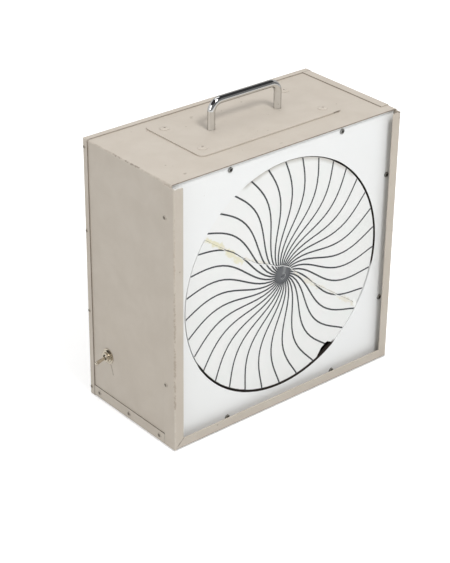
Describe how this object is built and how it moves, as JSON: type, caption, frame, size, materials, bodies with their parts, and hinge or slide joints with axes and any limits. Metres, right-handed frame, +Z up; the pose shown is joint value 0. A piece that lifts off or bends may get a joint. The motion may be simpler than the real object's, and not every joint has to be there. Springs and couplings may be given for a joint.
{
  "type": "rotating disc demonstration box",
  "caption": "Square sheet-metal box with a carrying handle and toggle switch; a gearmotor turns a white disc of curved rays in a round front window.",
  "frame": {"origin": "middle of the casing's underside", "axes": "+X to the right seen from the front, +Y from the front into the box, +Z up; the disc's shaft runs along Y"},
  "size_m": [0.3728, 0.1776, 0.3906],
  "materials": {
    "case_paint": "satin, worn at the folds",
    "opal_acrylic": "gloss",
    "disc_white": "satin",
    "ray_ink": "matt",
    "handle_chrome": "bright",
    "nickel": "bright, slightly dull",
    "zinc_steel": "zinc plated",
    "dark_steel": "blackened",
    "bright_steel": "ground",
    "galvanised": "galvanised",
    "passivated": "yellow passivated",
    "laminations": "varnished",
    "bronze": "sintered",
    "brass_parts": "plain",
    "copper": "enamelled",
    "aluminium": "turned",
    "acetal": "moulded",
    "black_plastic": "moulded",
    "cream_plastic": "moulded",
    "pad_rubber": "matt",
    "lead_brown": "soft",
    "lead_black": "soft",
    "lead_green": "soft"
  },
  "bodies": {
    "case": {"shell_left_top": "case_paint", "shell_right_bottom": "case_paint", "front_frame_left": "case_paint", "front_frame_right": "case_paint", "front_frame_bottom": "case_paint", "rear_cover": "case_paint", "rear_cover_screws": "case_paint", "front_panel": "opal_acrylic", "front_panel_screws": "zinc_steel", "bearer_left": "galvanised", "bearer_right": "galvanised", "bearer_top": "galvanised", "bearer_bottom": "galvanised", "frame_rivets": "case_paint", "lap_rivets": "case_paint", "handle_plate": "case_paint", "handle_plate_rivets": "case_paint", "carry_handle": "handle_chrome", "handle_bolts": "zinc_steel", "handle_spreaders": "zinc_steel", "drive_bridge": "galvanised", "gearbox_front_plate": "passivated", "gearbox_rear_plate": "passivated", "gearbox_spacers": "passivated", "gearbox_screws": "zinc_steel", "output_bushes": "bronze", "motor_stator": "laminations", "motor_bobbin": "black_plastic", "motor_winding": "copper", "shading_rings": "copper", "rotor_brackets": "passivated", "motor_spacers": "passivated", "motor_screws": "zinc_steel", "switch_body": "black_plastic", "switch_tags": "brass_parts", "switch_bushing": "nickel", "switch_washer": "nickel", "switch_nut": "nickel", "inlet_body": "black_plastic", "inlet_pins": "nickel", "inlet_screws": "zinc_steel", "terminal_block": "cream_plastic", "terminal_screws": "brass_parts", "earth_stud": "brass_parts", "mains_leads": "lead_brown", "motor_leads": "lead_black", "earth_lead": "lead_green"},
    "disc": {"output_shaft": "bright_steel", "output_gear": "acetal", "disc_hub": "aluminium", "hub_grub_screw": "dark_steel", "disc_pad": "pad_rubber", "ray_disc": "disc_white", "ray_print": "ray_ink", "disc_screw": "ray_ink"},
    "layshaft": {"layshaft": "bright_steel", "layshaft_gear": "acetal"},
    "rotor": {"motor_rotor": "aluminium", "rotor_shaft": "bright_steel"},
    "lever": {"switch_lever": "nickel"}
  },
  "joints": [
    {"name": "disc_spin", "type": "hinge", "parent": "case", "child": "disc", "pos_m": [0, 0, 0.175], "axis": [0, 1, 0], "continuous": true},
    {"name": "layshaft_spin", "type": "hinge", "parent": "case", "child": "layshaft", "pos_m": [0.036, 0, 0.175], "axis": [0, 1, 0], "continuous": true},
    {"name": "rotor_spin", "type": "hinge", "parent": "case", "child": "rotor", "pos_m": [0.0648, 0, 0.175], "axis": [0, 1, 0], "continuous": true},
    {"name": "switch_toggle", "type": "hinge", "parent": "case", "child": "lever", "pos_m": [-0.1775, 0.0435, 0.071], "axis": [0, 1, 0], "range_deg": [0, 26]}
  ],
  "couplings": [
    {"joint": "layshaft_spin", "follows": "disc_spin", "ratio": -5},
    {"joint": "rotor_spin", "follows": "disc_spin", "ratio": 25}
  ]
}
